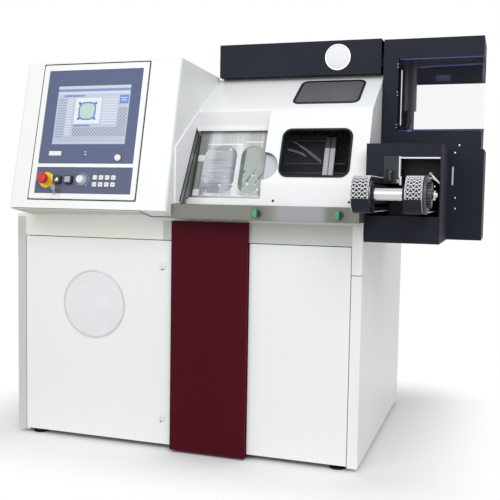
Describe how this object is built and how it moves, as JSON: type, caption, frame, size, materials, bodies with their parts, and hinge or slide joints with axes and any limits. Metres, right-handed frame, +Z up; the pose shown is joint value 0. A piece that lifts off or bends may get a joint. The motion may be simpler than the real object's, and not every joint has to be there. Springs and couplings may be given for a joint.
{
  "type": "lens surfacing machine",
  "caption": "Free-standing cabinet machine with a tilted touch-screen console, a hooded work chamber with a sliding door, and a belt-fed loader tower at its side.",
  "frame": {"origin": "centre of the whole machine's footprint, on the floor under its levelling feet", "axes": "+X to the right as the operator faces the machine, +Y from the operator towards the rear panel, +Z up"},
  "size_m": [1.762, 1.343, 1.575],
  "materials": {
    "white_paint": "semi-gloss powder coat",
    "grey_paint": "semi-gloss powder coat",
    "maroon_paint": "semi-gloss paint",
    "dark_paint": "fine textured powder coat",
    "panel_blue": "satin film",
    "frame_paint": "satin paint",
    "stainless": "brushed",
    "polished_steel": "polished",
    "machined_steel": "machined",
    "casting": "painted casting",
    "profile_aluminium": "anodised",
    "screen": "lit touch screen",
    "clear_pane": "clear",
    "tinted_pane": "grey tint",
    "seal_rubber": "matte",
    "black_plastic": "matte",
    "pleat_black": "coated cloth",
    "white_plastic": "satin",
    "yellow_plastic": "gloss",
    "red_plastic": "gloss",
    "green_plastic": "gloss",
    "lens_holder": "machined"
  },
  "bodies": {
    "machine": {"base_frame": "frame_paint", "levelling_feet": "black_plastic", "side_panels": "white_paint", "rear_panel": "white_paint", "top_deck": "white_paint", "front_posts": "white_paint", "front_fascias": "grey_paint", "centre_panel": "maroon_paint", "right_front_panel": "white_paint", "machine_bed": "casting", "control_cabinet": "grey_paint", "console_housing": "white_paint", "console_bezel": "white_paint", "monitor_panel": "panel_blue", "touch_screen": "screen", "control_panel": "panel_blue", "estop_collar": "yellow_plastic", "switch_bodies": "black_plastic", "guard_rail": "stainless", "hood_skin": "white_paint", "hood_cheek": "white_paint", "door_guides": "stainless", "window_seals": "seal_rubber", "window_panes": "tinted_pane", "chamber_liner": "stainless", "way_cover": "pleat_black", "gantry_cover": "dark_paint", "tower_frame": "dark_paint", "loader_beam": "profile_aluminium", "lower_box": "dark_paint", "front_box": "dark_paint", "conveyor_bracket": "dark_paint", "conveyor_belts": "white_plastic"},
    "left_door": {"left_door": "white_paint"},
    "upper_lock": {"upper_lock": "machined_steel"},
    "lower_lock": {"lower_lock": "machined_steel"},
    "estop_button": {"estop_button": "red_plastic"},
    "key_barrel": {"key_barrel": "polished_steel"},
    "lamp_button": {"lamp_button": "white_plastic"},
    "override_knob": {"override_knob": "white_plastic"},
    "left_start_button": {"left_start_button": "green_plastic"},
    "right_start_button": {"right_start_button": "green_plastic"},
    "sliding_door": {"sliding_door": "stainless", "door_panes": "clear_pane"},
    "work_spindle": {"work_spindle": "lens_holder"},
    "tool_slide": {"tool_slide": "casting"},
    "tool_spindle": {"tool_spindle": "lens_holder"},
    "clear_guard": {"clear_guard": "clear_pane"},
    "loader_carriage": {"loader_carriage": "profile_aluminium"},
    "gripper": {"gripper": "profile_aluminium"},
    "conveyor_shaft": {"conveyor_shaft": "polished_steel", "drive_pulley": "black_plastic"},
    "key_1": {"key_1": "white_plastic"},
    "key_2": {"key_2": "white_plastic"},
    "key_3": {"key_3": "white_plastic"},
    "key_4": {"key_4": "white_plastic"},
    "key_5": {"key_5": "white_plastic"},
    "key_6": {"key_6": "white_plastic"},
    "key_7": {"key_7": "white_plastic"},
    "key_8": {"key_8": "white_plastic"}
  },
  "joints": [
    {"name": "left_door_hinge", "type": "hinge", "parent": "machine", "child": "left_door", "pos_m": [-0.8355, -0.3655, 0.021], "axis": [0, 0, -1], "range_deg": [0, 100]},
    {"name": "upper_lock_turn", "type": "hinge", "parent": "left_door", "child": "upper_lock", "pos_m": [-0.251, -0.3715, 0.70078], "axis": [0, -1, 0], "range_deg": [0, 90]},
    {"name": "lower_lock_turn", "type": "hinge", "parent": "left_door", "child": "lower_lock", "pos_m": [-0.251, -0.3715, 0.12033], "axis": [0, -1, 0], "range_deg": [0, 90]},
    {"name": "estop_push", "type": "slide", "parent": "machine", "child": "estop_button", "axis": [0, 0.9722, -0.2343], "range_m": [0, 0.005]},
    {"name": "key_turn", "type": "hinge", "parent": "machine", "child": "key_barrel", "pos_m": [-0.62, -0.49366, 1.01505], "axis": [0, 0.9722, -0.2343], "range_deg": [0, 90]},
    {"name": "lamp_push", "type": "slide", "parent": "machine", "child": "lamp_button", "axis": [0, 0.9722, -0.2343], "range_m": [0, 0.003], "stiffness_N_per_m": 300},
    {"name": "override_turn", "type": "hinge", "parent": "machine", "child": "override_knob", "pos_m": [-0.519, -0.49366, 1.01505], "axis": [0, 0.9722, -0.2343], "range_deg": [-135, 135]},
    {"name": "key_1_push", "type": "slide", "parent": "machine", "child": "key_1", "axis": [0, 0.9722, -0.2343], "range_m": [0, 0.0015], "stiffness_N_per_m": 300},
    {"name": "key_2_push", "type": "slide", "parent": "machine", "child": "key_2", "axis": [0, 0.9722, -0.2343], "range_m": [0, 0.0015], "stiffness_N_per_m": 300},
    {"name": "key_3_push", "type": "slide", "parent": "machine", "child": "key_3", "axis": [0, 0.9722, -0.2343], "range_m": [0, 0.0015], "stiffness_N_per_m": 300},
    {"name": "key_4_push", "type": "slide", "parent": "machine", "child": "key_4", "axis": [0, 0.9722, -0.2343], "range_m": [0, 0.0015], "stiffness_N_per_m": 300},
    {"name": "key_5_push", "type": "slide", "parent": "machine", "child": "key_5", "axis": [0, 0.9722, -0.2343], "range_m": [0, 0.0015], "stiffness_N_per_m": 300},
    {"name": "key_6_push", "type": "slide", "parent": "machine", "child": "key_6", "axis": [0, 0.9722, -0.2343], "range_m": [0, 0.0015], "stiffness_N_per_m": 300},
    {"name": "key_7_push", "type": "slide", "parent": "machine", "child": "key_7", "axis": [0, 0.9722, -0.2343], "range_m": [0, 0.0015], "stiffness_N_per_m": 300},
    {"name": "key_8_push", "type": "slide", "parent": "machine", "child": "key_8", "axis": [0, 0.9722, -0.2343], "range_m": [0, 0.0015], "stiffness_N_per_m": 300},
    {"name": "left_start_push", "type": "slide", "parent": "machine", "child": "left_start_button", "axis": [0, 1, 0], "range_m": [0, 0.004], "stiffness_N_per_m": 400},
    {"name": "right_start_push", "type": "slide", "parent": "machine", "child": "right_start_button", "axis": [0, 1, 0], "range_m": [0, 0.004], "stiffness_N_per_m": 400},
    {"name": "door_slide", "type": "slide", "parent": "machine", "child": "sliding_door", "axis": [1, 0, 0], "range_m": [0, 0.27]},
    {"name": "work_spin", "type": "hinge", "parent": "machine", "child": "work_spindle", "pos_m": [-0.121, 0.0185, 1.025], "axis": [1, 0, 0], "continuous": true},
    {"name": "tool_feed", "type": "slide", "parent": "machine", "child": "tool_slide", "axis": [-1, 0, 0], "range_m": [0, 0.13]},
    {"name": "tool_spin", "type": "hinge", "parent": "tool_slide", "child": "tool_spindle", "pos_m": [0.204, 0.0185, 1.025], "axis": [1, 0, 0], "continuous": true},
    {"name": "guard_hinge", "type": "hinge", "parent": "machine", "child": "clear_guard", "pos_m": [0.567, -0.0175, 1.225], "axis": [0, 0, -1], "range_deg": [0, 95]},
    {"name": "carriage_slide", "type": "slide", "parent": "machine", "child": "loader_carriage", "axis": [1, 0, 0], "range_m": [0, 0.19]},
    {"name": "gripper_lift", "type": "slide", "parent": "loader_carriage", "child": "gripper", "axis": [0, 0, -1], "range_m": [0, 0.18]},
    {"name": "conveyor_turn", "type": "hinge", "parent": "machine", "child": "conveyor_shaft", "pos_m": [0.51, -0.6115, 0.983], "axis": [1, 0, 0], "continuous": true}
  ]
}
